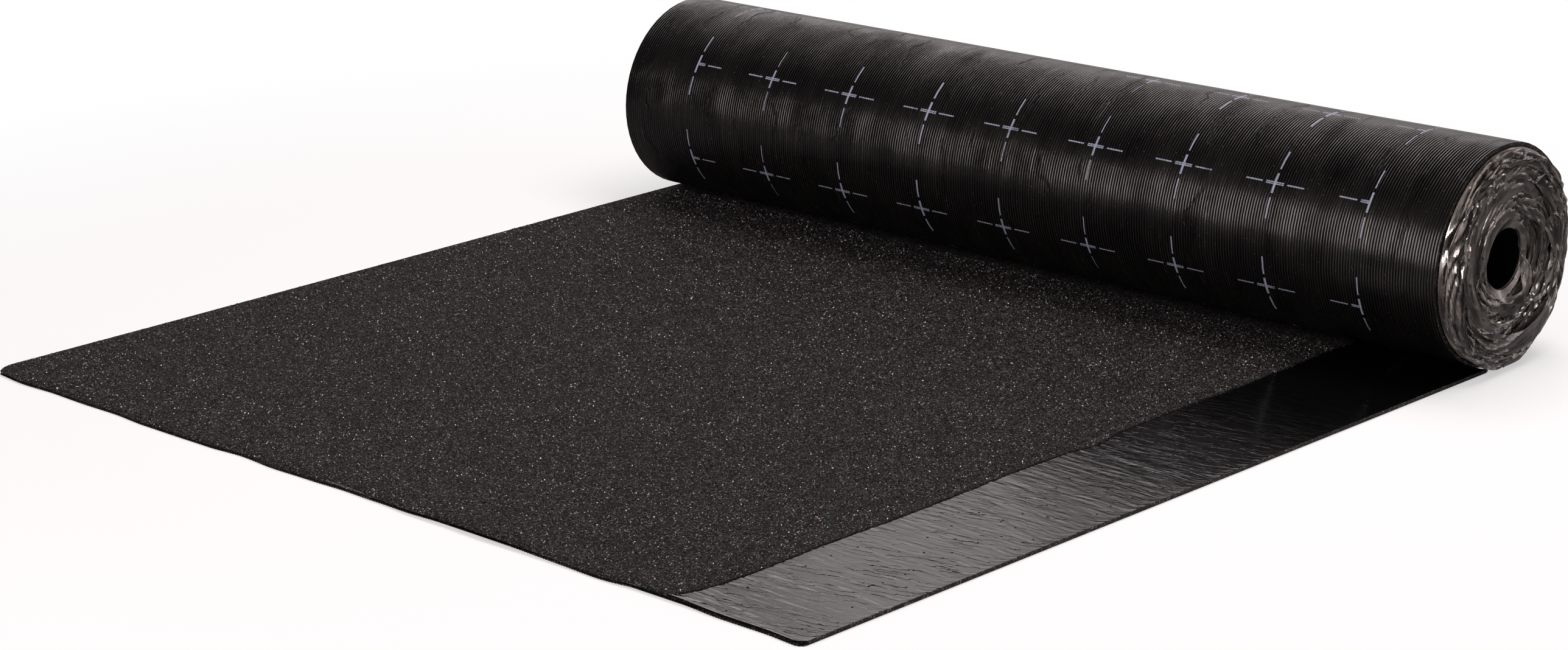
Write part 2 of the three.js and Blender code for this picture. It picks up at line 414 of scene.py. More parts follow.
def wrinkles_in(graph, place, across, along, kind):
    """1 along thin broken lines that run across the strip."""
    pitch, slant, bend, width, least = kind
    waver = graph.noise(place, (pitch * 4, pitch * 1.5), 3, 0.6)
    line = (along + across * slant) * (1 / pitch) + waver * bend
    broken = graph.noise(place, (pitch * 7, pitch * 1.3), 2).ramp(least, least + 0.1)
    return line.off_nearest(1.0).abs().ramp(0.0, width / pitch, 1.0, 0.0) * broken


def make_strip():
    """The bare strip: glossy bitumen under a clear film, with fine wrinkles across it."""
    made, graph = material("glossy_strip")
    place, across, along, _ = graph.sheet()
    patches = graph.noise(place, (70, 50), 2).ramp(0.35, 0.6, 0.35, 0.9)
    coarse, close = [wrinkles_in(graph, place, across, along, kind) for kind in WRINKLES]
    lines = coarse.either(close) * patches
    swell = graph.noise(place, (45, 12), 3)
    fine = graph.noise(place, (9, 3.6), 3, 0.6)
    handled = along.ramp(*HANDLED)
    specks = specks_in(graph, place, 22.0, 0.04, 0.6)
    # Painted shade: the base colour is darkened to black along the wrinkle lines; the specks are
    # real dark specks.
    shaded_lines_and_specks = lines.either(specks)
    height = swell * 0.5 + fine * 0.6 - lines * 0.5 - specks
    graph.finish(graph.principled({
        "Base Color": graph.mix(shaded_lines_and_specks, STRIP_BITUMEN, BLACK),
        "Roughness": (fine * 0.1 + 0.08).either(lines * 0.6).either(specks),
        "Specular IOR Level": shaded_lines_and_specks * -0.45 - handled * 0.12 + 0.5,
        "Normal": graph.bump(height, 0.3 * MM, 0.8),
    }))
    return made


def make_edge():
    """A cut edge: broken bitumen with grains of slate caught in it."""
    made, graph = material("cut_edge")
    place = graph.add("ShaderNodeTexCoord").outputs["Object"]
    far, grain = graph.cells(place, 0.9 * MM)
    tone = graph.mix(grain[0], shade(8, 8, 8), shade(30, 28, 27))
    tone = graph.mix(grain[1].over(0.91, 0.02), tone, shade(128, 121, 114))
    rough = graph.noise(place, 2.2 * MM, 3)
    normal = graph.bump(far.ramp(0.0, 0.8, 1.0, 0.0) + rough, 0.4 * MM, 0.9)
    graph.finish(graph.principled({
        "Base Color": tone, "Roughness": grain[2] * 0.3 + 0.35, "Normal": normal,
    }))
    return made


FILM_DARK, FILM_PALE = shade(30, 28, 27), shade(92, 87, 82)
FILM_FOLD_SHADE, FILM_RIDGE_WHITE_AND_SHEEN = shade(5, 5, 4), shade(158, 150, 141)
FLATTEN = 1e6  # brings the third number of the film's place to nearly nothing


def facets_in(graph, place, size):
    """Flat facets that each tilt their own way, as heights."""
    scaled = graph.scaled(place, size)

    def vector_math(operation, first, second):
        return graph.add("ShaderNodeVectorMath", {0: first, 1: second}, operation=operation).outputs

    inputs = {"Vector": scaled, "Scale": 1.0, "Randomness": 1.0}
    cells = graph.add("ShaderNodeTexVoronoi", inputs).outputs
    offset = vector_math("SUBTRACT", scaled, cells["Position"])[0]
    tilt = vector_math("SUBTRACT", cells["Color"], (0.5, 0.5, 0.5))[0]
    return Wire(graph, vector_math("DOT_PRODUCT", offset, tilt)["Value"])


def make_film():
    """Thin grey-brown plastic film: glossy, creased all over, and letting some light through."""
    made, graph = material("crumpled_film")
    place, *_, bend = graph.sheet()
    place = graph.scaled(place, (1.0, 1.0, FLATTEN))
    crumpled = graph.noise(place, (22, 14), 2).ramp(0.5, 0.62)
    long_facets = facets_in(graph, place, (26, 3))
    small_facets = facets_in(graph, place, (7, 2.2))
    folds = long_facets * 0.3 + small_facets * crumpled * 0.3
    cloud = graph.noise(place, (50, 9), 3)
    whitening_and_sheen = graph.noise(place, (34, 16), 2).ramp(0.38, 0.56, 0.12, 1.0)
    tone = graph.mix(cloud.ramp(0.35, 0.65), FILM_DARK, FILM_PALE)
    # Painted shade in the fold hollows, where the film bends inwards.
    tone = graph.mix(bend.ramp(-0.1, -0.5), tone, FILM_FOLD_SHADE)
    # Lighter along the fold ridges, in patches: partly stress-whitening of the film, partly a
    # painted highlight.
    tone = graph.mix(bend.ramp(0.25, 0.9) * whitening_and_sheen, tone, FILM_RIDGE_WHITE_AND_SHEEN)
    normal = graph.bump(folds, 1.5 * MM, 0.7)
    gloss = graph.principled({
        "Base Color": tone,
        "Roughness": cloud * 0.2 + 0.16,
        "IOR": 1.6,
        "Specular IOR Level": 1.0,
        "Specular Tint": (1, 0.94, 0.88, 1),
        "Coat Weight": 0.6,
        "Coat Roughness": 0.1,
        "Alpha": 0.93,
        "Normal": normal,
        "Coat Normal": normal,
    })
    glow = graph.add("ShaderNodeBsdfTranslucent", {"Color": tone, "Normal": normal})
    shader = graph.add("ShaderNodeMixShader", {0: 0.08, 1: gloss.outputs[0], 2: glow.outputs[0]})
    graph.finish(shader)
    return made


BACK, GRANULES, STRIP, EDGE = make_back(), make_granules(), make_strip(), make_edge()
CHIP, FILM = make_chips(), make_film()

# ---------------------------------------------------------------- meshes

CREASE_ANGLE = 40  # degrees: two faces that meet at more than this have a sharp edge
RIBBED_CREASE_ANGLE = 60  # so that ribs are shaded as round
NEARLY_ZERO = 1e-9


def eased(share):
    """A share from 0 to 1 that starts and ends gently."""
    return share * share * (3 - 2 * share)


def value_noise(u, v, seed, creased=False):
    """Random heights from -1 to 1 at whole numbers of u and v, joined smoothly, or by flat
    facets with sharp creases between them."""
    u, v = np.broadcast_arrays(u - np.min(u), v - np.min(v))
    column, row = np.floor(u).astype(int), np.floor(v).astype(int)
    heights = np.random.default_rng(seed).uniform(-1, 1, (column.max() + 2, row.max() + 2))
    near, right = heights[column, row], heights[column + 1, row]
    up, far = heights[column, row + 1], heights[column + 1, row + 1]
    s, t = u - column, v - row
    if creased:
        return np.where(
            s + t < 1,
            near + s * (right - near) + t * (up - near),
            far + (1 - s) * (up - far) + (1 - t) * (right - far),
        )
    s, t = eased(s), eased(t)
    return (near * (1 - s) + right * s) * (1 - t) + (up * (1 - s) + far * s) * t


def line_noise(at, seed, creased=False):
    """Random heights from -1 to 1 along a line."""
    return value_noise(at, 0 * at, seed, creased)


def smooth_between(places, values, at):
    """Values at places, joined smoothly."""
    place = np.interp(at, places, np.arange(len(places)))
    low = np.minimum(place.astype(int), len(places) - 2)
    share = eased(place - low)
    return values[low] * (1 - share) + values[low + 1] * share


def points(x, y, z):
    return np.stack(np.broadcast_arrays(x, y, z), axis=-1)


def share_along(rings, axis):
    """Each point's place along an axis of the rings as a share of the whole, by mean length."""
    closed = np.concatenate([rings, np.take(rings, [0], axis)], axis) if axis == 1 else rings
    steps = np.linalg.norm(np.diff(closed, axis=axis), axis=-1).mean(axis=1 - axis)
    return np.concatenate([[0], np.cumsum(steps)]) / steps.sum()


def add_mesh(name, vertices, faces, materials):
    mesh = bpy.data.meshes.new(name)
    mesh.from_pydata(vertices, [], faces)
    for each in materials:
        mesh.materials.append(each)
    made = bpy.data.objects.new(name, mesh)
    bpy.context.scene.collection.objects.link(made)
    return made


def add_piece(name, vertices, faces, maps, materials, sheet):
    """A piece of the part. maps places each face's corners in the map for baking,
    and sheet is each point's place on the sheet, with one more number for its looks."""
    piece = add_mesh(name, (vertices + (MID_X, AXIS_Y, 0)).tolist(), faces, materials)
    layer = piece.data.uv_layers.new(name="OFBake")
    layer.uv.foreach_set("vector", maps.astype(np.float32).ravel())
    held = piece.data.attributes.new("sheet", "FLOAT_VECTOR", "POINT")
    held.data.foreach_set("vector", (sheet / (MM, MM, 1)).astype(np.float32).ravel())
    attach(piece, "root")
    return piece


def grid_faces(count, size):
    """Quads between rings of points, where each ring is closed on itself."""
    index = np.arange(count * size).reshape(count, size)
    here, ahead = index[:-1], index[1:]
    quads = np.stack([here, ahead, np.roll(ahead, -1, 1), np.roll(here, -1, 1)], -1)
    return quads.reshape(-1, 4)


def enclosed(vertices, quads):
    """Six times the volume inside the quads, which is under zero if they face inwards."""
    a, b, c, d = np.moveaxis(vertices[quads], 1, 0)
    return np.einsum("ij,ij", a, np.cross(b, c)) + np.einsum("ij,ij", a, np.cross(c, d))


SIDES_TOP, END_FLOORS, END_HEIGHT = 0.94, (0.95, 0.98), 0.015  # shares of the map's height


def loft_map(rings):
    """Each face corner's place in the map for baking: the sides as one
    grid, then the first and the last end above it."""
    count, size = rings.shape[:2]
    across, along = share_along(rings, 1), share_along(rings, 0) * SIDES_TOP
    j, k = np.tile(np.arange(size), count - 1), np.repeat(np.arange(count - 1), size)
    corners = [(0, 0), (0, 1), (1, 1), (1, 0)]
    sides = [points(across[j + dj], along[k + dk], 0)[:, :2] for dj, dk in corners]
    ends = []
    for ring, floor in zip((rings[0], rings[-1]), END_FLOORS):
        spread = ring - ring.min(axis=0)
        wide, deep = np.argsort(-spread.max(axis=0))[:2]
        flat = spread[:, (wide, deep)] / np.maximum(spread.max(axis=0)[[wide, deep]], NEARLY_ZERO)
        ends.append(flat * (1, END_HEIGHT) + (0, floor))
    return np.stack(sides, axis=1), ends[0], ends[1][::-1]


def loft(name, rings, slots, materials, sheet, crease_angle):
    """A closed piece through equal rings of points, with flat ends. rings and sheet are
    arrays of (ring, point, xyz), and slots gives each point's material to the next point."""
    count, size = rings.shape[:2]
    vertices, quads = rings.reshape(-1, 3), grid_faces(count, size)
    last = (count - 1) * size
    faces = [*quads.tolist(), [*range(size)], [*range(last, last + size)][::-1]]
    maps = loft_map(rings)
    if enclosed(vertices, quads) < 0:
        faces = [face[::-1] for face in faces]
        maps = [maps[0][:, ::-1], maps[1][::-1], maps[2][::-1]]
    maps = np.concatenate([each.reshape(-1, 2) for each in maps])
    piece = add_piece(name, vertices, faces, maps, materials, sheet)
    mesh = piece.data
    chosen = np.concatenate([np.tile(slots, count - 1), [slots[-1]] * 2]).astype(np.int32)
    mesh.polygons.foreach_set("material_index", chosen)
    mesh.polygons.foreach_set("use_smooth", np.ones(len(faces), bool))
    mesh.set_sharp_from_angle(angle=math.radians(crease_angle))
    return piece


def as_felt(piece):
    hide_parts("felt_sheet")


def felt(name, points_across, slots, materials, places, crease_angle=CREASE_ANGLE):
    """A piece of the sheet, from arrays of points and of their places that lie side by side."""
    rings, sheet = np.concatenate(points_across, axis=1), np.concatenate(places, axis=1)
    as_felt(loft(name, rings, slots, materials, sheet, crease_angle))


# ---------------------------------------------------------------- the wound part


def radius_at(inward, x):
    """The roll's radius, from its rim (inward = 0) to its bore (inward = 1)."""
    outer = ROLL_RADIUS + ROLL_TAPER * x / HALF_WIDTH + TOP_TURN * SHEET_THICKNESS
    return outer + (BORE_RADIUS - outer) * inward


def in_roll(turn, x, inward, inset=0.0):
    """Points round the roll, by turns from its bottom, up its back, over the top and down
    its front. The middle drifts from the roll's axis to the bore's, and the weight of the
    roll flattens what is below it."""
    outer = radius_at(0, x)
    radius = radius_at(inward, x) - inset
    sag = 1 + (ROLL_AXIS_HEIGHT / outer - 1) * (1 - inward)
    up = -radius * np.cos(TAU * turn)
    y = BORE_SHIFT[0] * inward + radius * np.sin(TAU * turn)
    z = ROLL_AXIS_HEIGHT + BORE_SHIFT[1] * inward + np.where(up < 0, up * sag, up)
    return points(x, y, z)


def wound(turn, x, inset=0.0):
    """Points on the wound sheet's outer face."""
    return in_roll(turn, x, turn / TURN_COUNT, inset)


RIB_COUNT = 335  # across the sheet
RIB_DEPTH = 0.5 * MM
RIB_STATIONS = [(0, 1.0), (0.2, 0.4), (0.5, 0.0), (0.8, 0.4)]  # place in the rib, share of depth
WOUND_THICKNESS = 4.6 * MM  # in the roll, where a little air is left between turns
OUTER_TURN_END = 1.03  # just past the line where the roll comes down on its own tail
OUTER_TURN_STEPS = 58
SLACK, FINE_SLACK = 0.22 * MM, 0.05 * MM  # how loosely the outer turn lies
SLACK_RUN = 0.08  # of a turn, in which it comes to lie tight on the tail


def rib_stations():
    """Places across the sheet, and how deep in the ribs' relief each is, from 0 to 1."""
    pitch = 2 * HALF_WIDTH / RIB_COUNT
    places = [(-HALF_WIDTH + (rib + at) * pitch, deep)
              for rib in range(RIB_COUNT) for at, deep in RIB_STATIONS]
    return np.array([*places, (HALF_WIDTH, 1.0)]).T


def telescoping(turn, side):
    """How far a turn's edge lies in from the end of the roll. The inner turns wander more."""
    wander = line_noise(turn * 1.7, 11 + side) * 0.6 + line_noise(turn * 6, 21 + side) * 0.25
    return (0.9 + wander) * np.minimum(1, 0.35 + turn / 6) * MM


EDGE_ROUND, EDGE_BEVEL = 0.7 * MM, (0.45 * MM, 0.5 * MM)
EDGE_SETBACK, EDGE_CHIP = 0.2 * MM, 0.22 * MM
CHIPS_A_TURN = 130


def edge_profile(turn, side):
    """(x, inset) of five points round the sheet's edge, from its outer face to its inner."""
    end = HALF_WIDTH - telescoping(turn, side)
    insets = (EDGE_ROUND, WOUND_THICKNESS / 2, WOUND_THICKNESS - EDGE_ROUND)
    broken = [
        (end + line_noise(turn * CHIPS_A_TURN, 31 + 7 * i + side) * EDGE_CHIP - EDGE_SETBACK, inset)
        for i, inset in enumerate(insets)
    ]
    profile = [(end - EDGE_BEVEL[0], 0.0), *broken, (end - EDGE_BEVEL[1], WOUND_THICKNESS)]
    return [((1 if side else -1) * x, inset) for x, inset in profile]


def sheet_along(turn, x):
    """Distance along the wound sheet, up from the level line along the roll's front."""
    return (0.75 - turn) * TAU * (ROLL_RADIUS + ROLL_TAPER * x / HALF_WIDTH)


def build_outer_turn():
    """The turn that shows, ribbed and printed, from the floor round to its own tail."""
    turn = np.linspace(0, OUTER_TURN_END, OUTER_TURN_STEPS + 1)[:, None]
    x, deep = rib_stations()
    arc = turn * TAU * ROLL_RADIUS
    slack = value_noise(x / 0.16, arc / 0.3, 3) * SLACK
    slack = slack + value_noise(x / 0.05, arc / 0.16, 4) * FINE_SLACK + SLACK + FINE_SLACK
    slack = slack * np.minimum(1, np.abs(turn - OUTER_TURN_END) / SLACK_RUN)
    depth = RIB_DEPTH * (1 + 0.25 * value_noise(x / 0.02, arc / 0.12, 5))
    squeeze = 1 - telescoping(turn, 0) / HALF_WIDTH
    across = [wound(turn, x * squeeze, slack + depth * deep)]
    places = [points(x, sheet_along(turn, x), 1 - deep)]
    sides = {side: edge_profile(turn, side) for side in (1, 0)}
    for side_x, inset in sides[1][1:] + sides[0][:0:-1]:
        across.append(wound(turn, side_x, inset + slack.mean() * 0.5))
        places.append(points(side_x, sheet_along(turn, side_x), 1.0))
    slots = [0] * (len(x) - 1) + [1] * 4 + [2] + [1] * 4
    felt("outer_turn", across, slots, [BACK, EDGE, GRANULES], places, RIBBED_CREASE_ANGLE)


INNER_STEP = 0.0185  # of a turn
INNER_CREST = 0.15  # dark, because little light reaches in between the turns


def build_inner_turns():
    """The turns inside it, of which only the edges and the bore show."""
    last = TURN_COUNT - 1
    turn = np.linspace(OUTER_TURN_END, last, round((last - OUTER_TURN_END) / INNER_STEP))[:, None]
    looseness = (line_noise(turn * 3, 8) + 1) * 0.12 * MM
    profile = edge_profile(turn, 1) + edge_profile(turn, 0)[::-1]
    across = [wound(turn, x, inset + looseness) for x, inset in profile]
    places = [points(x, sheet_along(turn, x), INNER_CREST) for x, _ in profile]
    slots = [1] * 4 + [2] + [1] * 4 + [0]
    felt("inner_turns", across, slots, [BACK, EDGE, GRANULES], places)


# ---------------------------------------------------------------- the flat tail

CUT_WANDER = 4 * MM  # the knife strays from a straight line by up to this
CUT_STRAYS = 24


def cut_edge(x):
    """Where the cut end runs, as a distance from the roll's axis."""
    into_corner = np.maximum(0, CORNER_RADIUS - (HALF_WIDTH - np.abs(x)))
    rounding = CORNER_RADIUS - np.sqrt(CORNER_RADIUS**2 - into_corner**2)
    strays = np.random.default_rng(31).uniform(0, CUT_WANDER, CUT_STRAYS)
    strays[-1] = 0  # the right-hand corner is the part's foremost point
    wander = smooth_between(np.linspace(-1, 1, CUT_STRAYS), strays, x / HALF_WIDTH)
    return -TAIL_LENGTH - CUT_OUT_OF_SQUARE * x / HALF_WIDTH + rounding + wander


def lift(x, from_cut):
    """How high the cut end's waves stand off the floor."""
    crest = sum(h * np.exp(-(((x / HALF_WIDTH - c) / spread) ** 2)) for h, c, spread in WAVES)
    return crest * np.maximum(0, 1 - from_cut / WAVE_REACH) ** 2


def granule_edge(from_cut):
    """Where the granules stop, as a distance from mid width."""
    far = from_cut / MM
    near_cut, drift = -13 * np.exp(-far / 24), 2 - 0.0085 * far
    bulge, waver = 6 * np.exp(-(((far - 516) / 24) ** 2)), 1.1 * np.sin(far / 37)
    ragged = (line_noise(far / 2.1, 41) + line_noise(far / 9, 42)) * 0.5
    return HALF_WIDTH - SELVEDGE_WIDTH + (near_cut + drift + bulge + waver + ragged) * MM


def on_tail(x, from_cut, height):
    return points(x, cut_edge(x) + from_cut, height + lift(x, from_cut))


def tail_sheet(x, from_cut, crest=1.0):
    return points(x, sheet_along(0.0, x) + TAIL_LENGTH - from_cut, crest)


CORE_TOP = 1.5 * MM  # the layers above it start a little lower, so no gap shows
LAYER_FLOOR = 1.2 * MM
WORN_FALL, WORN_RUN = 2.3 * MM, 9 * MM  # the mineral face curves down to the cut
STRIP_FALL, STRIP_RUN = 0.8 * MM, 1.6 * MM  # the bare strip is cut off more sharply
CUT_ROWS = np.array([0, 0.6, 1.4, 2.6]) * MM


def tail_spans(step):
    """Distances from the cut end to the roll's axis, closer together at the cut."""
    start, end = CUT_ROWS[-1], TAIL_LENGTH - CUT_OUT_OF_SQUARE
    rest = np.linspace(start, end, round((TAIL_LENGTH - start) / step))
    return np.concatenate([CUT_ROWS, rest[1:]])[:, None]


def edge_drop(from_cut, fall=WORN_FALL, run=WORN_RUN):
    """How far the top lies below its own level where the cut end is worn down."""
    return fall * np.maximum(0, 1 - from_cut / run) ** 2


BACK_ROWS = np.array([0, 0.12, 0.27, 0.45, 0.68, 1, 2, 3.08]) * WAVE_REACH  # to under the roll
BACK_INSET = 0.3 * MM  # so that the side of the layers above shows, and not the body's


def build_tail_back():
    """The sheet's ribbed underside and its body, up to the layers that show on top."""
    from_cut = BACK_ROWS[:, None]
    x, deep = rib_stations()
    inner = HALF_WIDTH - BACK_INSET
    across = [on_tail(x * inner / HALF_WIDTH, from_cut, deep * RIB_DEPTH)]
    places = [tail_sheet(x, from_cut, 1 - deep)]
    for side_x in (inner, -inner):
        across.append(on_tail(side_x, from_cut, CORE_TOP))
        places.append(tail_sheet(side_x, from_cut))
    slots = [0] * (len(x) - 1) + [1, 1, 1]
    felt("tail_back", across, slots, [BACK, EDGE], places, RIBBED_CREASE_ANGLE)


STRIP_STEP = 0.85 * MM
STRIP_COLUMNS = 26
STRIP_TUCK = 3 * MM  # how far it reaches in under the granules
STRIP_LOW = 0.15 * MM  # so that the wrinkles' crests hardly pass the strip's own level
# Waves on it: their size across and along the strip and their height, in mm.
STRIP_WAVES = [(16, 2.1, 0.045), (18, 4.3, 0.085), (70, 12, 0.06)]
NICK = 0.3 * MM  # the most that its edge is nicked


def strip_wrinkles(x, from_cut):
    """Two sizes of fine wrinkles that run across the strip, on broader waves."""
    return sum(
        value_noise(x / (across * MM), from_cut / (along * MM), 51 + i) * height * MM
        for i, (across, along, height) in enumerate(STRIP_WAVES)
    )


def build_lap_strip():
    """The bare glossy strip along the right-hand edge, with its fine wrinkles."""
    from_cut = tail_spans(STRIP_STEP)
    low = granule_edge(from_cut) - STRIP_TUCK
    x = low + (HALF_WIDTH - 0.5 * MM - low) * np.linspace(0, 1, STRIP_COLUMNS)
    level = SHEET_THICKNESS - SELVEDGE_RECESS - edge_drop(from_cut, STRIP_FALL, STRIP_RUN)
    across = [on_tail(x, from_cut, level - STRIP_LOW + strip_wrinkles(x, from_cut))]
    places = [tail_sheet(x, from_cut)]
    for i, share_down in enumerate((0.25, 0.5, 1)):
        nicks = np.minimum(0, line_noise(from_cut / 0.0018, 61 + i) * NICK)
        height = level + (LAYER_FLOOR - level) * share_down
        across.append(on_tail(HALF_WIDTH - 0.1 * MM + nicks, from_cut, height))
        places.append(tail_sheet(HALF_WIDTH, from_cut))
    across.append(on_tail(low, from_cut, LAYER_FLOOR))
    places.append(tail_sheet(low, from_cut))
    slots = [0] * (STRIP_COLUMNS - 1) + [1] * 5
    felt("lap_strip", across, slots, [STRIP, EDGE], places)


GRANULE_STEP = 2.15 * MM
GRANULE_RELIEF = 0.15 * MM
GRANULE_COLUMNS = 105
CORNER_SHARES = (0.0005, 0.0015, 0.003, 0.0055)  # more columns, for the worn left corner


def build_granules():
    """The mineral face, under the chips that stand out of it."""
    from_cut = tail_spans(GRANULE_STEP)
    rng = np.random.default_rng(71)
    share = np.sort([*np.linspace(0, 1, GRANULE_COLUMNS), *CORNER_SHARES])
    x = -HALF_WIDTH + (granule_edge(from_cut) + HALF_WIDTH) * share
    loose = np.ones_like(x)
    loose[(0, 1, 2, -1), :] = 0  # the rows at the cut and the last one stay straight
    run = from_cut + rng.uniform(-0.3, 0.3, x.shape) * GRANULE_STEP * loose
    relief = rng.uniform(0, 1, x.shape) * GRANULE_RELIEF
    top = on_tail(x, run, SHEET_THICKNESS - edge_drop(run) - relief)
    side_x, side_run = x[:, (-1, 0)], run[:, (-1, 0)]
    across = [top, on_tail(side_x, side_run, LAYER_FLOOR)]
    places = [tail_sheet(x, run), tail_sheet(side_x, side_run)]
    slots = [0] * (len(share) - 1) + [1, 1, 1]
    felt("granules", across, slots, [GRANULES, EDGE], places)


CHIPS = 38_000  # on each half of the mineral face
CHIP_SIZES = (0.55 * MM, 1.1 * MM)  # from a chip's middle to its corners
CHIP_RISE = 0.15 * MM  # of its middle above the face
CHIP_REACH = TAIL_LENGTH - 45 * MM  # the roll covers the rest
CHIP_HALVES = [("slate_chips_left", 0.0, 91), ("slate_chips_right", 0.5, 92)]  # start, seed
HALF_MARGIN = 0.001  # share of the width left free of chips at each side of a half
CHIP_CORNERS = np.array([(1, 1, 1), (1, -1, -1), (-1, 1, -1), (-1, -1, 1)]) / math.sqrt(3)
CHIP_FACES = np.array([(0, 1, 2), (0, 3, 1), (0, 2, 3), (1, 3, 2)])


def chip_map(count):
    """Each chip has a square of the map to itself, and each of its faces a quarter of that."""
    row_length = math.ceil(math.sqrt(count))
    chip = np.arange(count)[:, None, None, None]
    square = np.concatenate([chip % row_length, chip // row_length], axis=-1)
    quarter = np.array([(0, 0), (1, 0), (0, 1), (1, 1)])[None, :, None, :]
    corner = np.array([(0.1, 0.1), (0.9, 0.1), (0.1, 0.9)])[None, None]
    return ((square + (quarter + corner) / 2) / row_length).reshape(-1, 2)


def build_chips():
    """Chips of crushed slate, each turned its own way and half sunk into the face."""
    for name, start, seed in CHIP_HALVES:
        rng = np.random.default_rng(seed)
        from_cut = rng.uniform(MM, CHIP_REACH, CHIPS)
        share = start + rng.uniform(HALF_MARGIN, 0.5 - HALF_MARGIN, CHIPS)
        x = -HALF_WIDTH + (granule_edge(from_cut) + HALF_WIDTH) * share
        middle = on_tail(x, from_cut, SHEET_THICKNESS + CHIP_RISE - edge_drop(from_cut))
        turn = np.linalg.qr(rng.normal(size=(CHIPS, 3, 3)))[0]
        turn *= np.sign(np.linalg.det(turn))[:, None, None]
        size = rng.uniform(*CHIP_SIZES, (CHIPS, 1, 3))
        corners = middle[:, None] + (CHIP_CORNERS * size) @ turn
        corner_count = len(CHIP_CORNERS)
        faces = (np.arange(CHIPS)[:, None, None] * corner_count + CHIP_FACES).reshape(-1, 3)
        chance = rng.uniform(0, 1, CHIPS)
        sheet = np.repeat(tail_sheet(x, from_cut, chance), corner_count, axis=0)
        vertices, maps = corners.reshape(-1, 3), chip_map(CHIPS)
        as_felt(add_piece(name, vertices, faces.tolist(), maps, [CHIP], sheet))


# ---------------------------------------------------------------- the crumpled film

FILM_THICKNESS = 0.15 * MM
FACE_LOWEST, BACK_LOWEST = 0.6 * MM, 0.4 * MM  # above the floor
BACK_GAP = 0.1 * MM  # between the film's back and the end of the roll
BORE_FILM_HEIGHT = 5 * MM
FILM_CREASE_ANGLE = 6


def folds(seed, arc, over, tilt, pitch, height, share):
    """Sharp folds that run at a tilt to the film, and come and go: more of them by share."""
    u = arc * math.cos(tilt) + over * math.sin(tilt)
    v = over * math.cos(tilt) - arc * math.sin(tilt)
    v = v + 1.2 * pitch * value_noise(u / 0.06, v / 0.04, seed)
    wave = 4 * np.abs(v / pitch - np.floor(v / pitch) - 0.5) - 1
    size = np.clip(share + value_noise(u / 0.055, v / 0.02, seed + 1), 0, 1)
    return height * size * wave


# Kinds of folds: tilt, pitch and height in mm, share.
BAND_FOLDS = [(0.12, 7, 1.7, 0.5), (-0.18, 15, 2.8, 0.6), (0.5, 26, 3.2, 0.1)]
RIBBON_FOLDS = [(0.15, 6, 1.2, 0.4), (-0.3, 14, 2.2, 0.5)]
FACETS = [(17, 6, 2.3), (6, 3.6, 1.0)]  # length, width and height in mm


def folded(seed, arc, over, kinds):
    """Several kinds of folds together."""
    return sum(
        folds(seed + 2 * i, arc, over, tilt, pitch * MM, height * MM, share)
        for i, (tilt, pitch, height, share) in enumerate(kinds)
    )


def crumple(seed, arc, over):
    """Patches crushed into small flat facets, with sharp creases between them."""
    patch = np.clip(0.6 + 0.9 * value_noise(arc / 0.05, over / 0.022, seed), 0.2, 1)
    facets = 0
    for kind, (length, width, height) in enumerate(FACETS, 1):
        u, v = (arc + 0.4 * over) / (length * MM), (over - 0.3 * arc) / (width * MM)
        facets = facets + height * MM * value_noise(u, v, seed + kind, creased=True)
    return patch * facets


def bend_at(face, normal):
    """How far each point stands out from those beside it, in millimetres: over 0 on a ridge."""
    bend = np.zeros(face.shape[:2])
    bend[1:-1] -= np.einsum("ijk,ijk->ij", np.diff(face, 2, axis=0), normal[1:-1])
    bend[:, 1:-1] -= np.einsum("ijk,ijk->ij", np.diff(face, 2, axis=1), normal[:, 1:-1])
    return bend / MM


def clear_of_bore(x, radius):
    """Film near the bore lies low, so that the bore stays open to view."""
    return np.minimum(x, BORE_FILM_HEIGHT + 0.6 * np.maximum(radius - BORE_RADIUS, 0))


def film_sheet(name, turn, inward, inset, x, arc, over):
    """A sheet of film of even thickness, inside the part's own box. x is how far its face
    stands out of the roll's end."""
    face = in_roll(turn, HALF_WIDTH, inward, inset)
    face[..., 0] = HALF_WIDTH + clear_of_bore(x, radius_at(inward, HALF_WIDTH) - inset)
    low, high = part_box("release_film")
    face[..., 1] = np.clip(face[..., 1], low.y - AXIS_Y, high.y - AXIS_Y)
    face[..., 2] = np.clip(face[..., 2], FACE_LOWEST, high.z)
    forward, sideways = np.gradient(face, axis=0), np.gradient(face, axis=1)
    normal = np.cross(forward, sideways)
    normal /= np.maximum(np.linalg.norm(normal, axis=-1, keepdims=True), NEARLY_ZERO)
    back = face - normal * FILM_THICKNESS
    back[..., 0] = np.maximum(back[..., 0], HALF_WIDTH + BACK_GAP)
    back[..., 2] = np.maximum(back[..., 2], BACK_LOWEST)
    rings = np.concatenate([face, back[:, ::-1]], axis=1)
    # Its third number is the bend, along which the film's material paints shade in hollows and
    # highlights on ridges.
    sheet = points(arc, over, bend_at(face, normal))
    sheet = np.concatenate([sheet, sheet[:, ::-1]], axis=1)
    piece = loft(name, rings, [0] * rings.shape[1], [FILM], sheet, FILM_CREASE_ANGLE)
    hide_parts("release_film")


def along_path(path, stations):
    """Turn, share of the way in, roll's radius there and distance along, at each station."""
    turn = np.linspace(path[0][0], path[-1][0], stations)[:, None]
    inward = np.interp(turn, *zip(*path)) / TURN_COUNT
    radius = radius_at(inward, HALF_WIDTH)
    arc = np.cumsum(TAU * (path[-1][0] - path[0][0]) / stations * radius, axis=0)
    return turn, inward, radius, arc


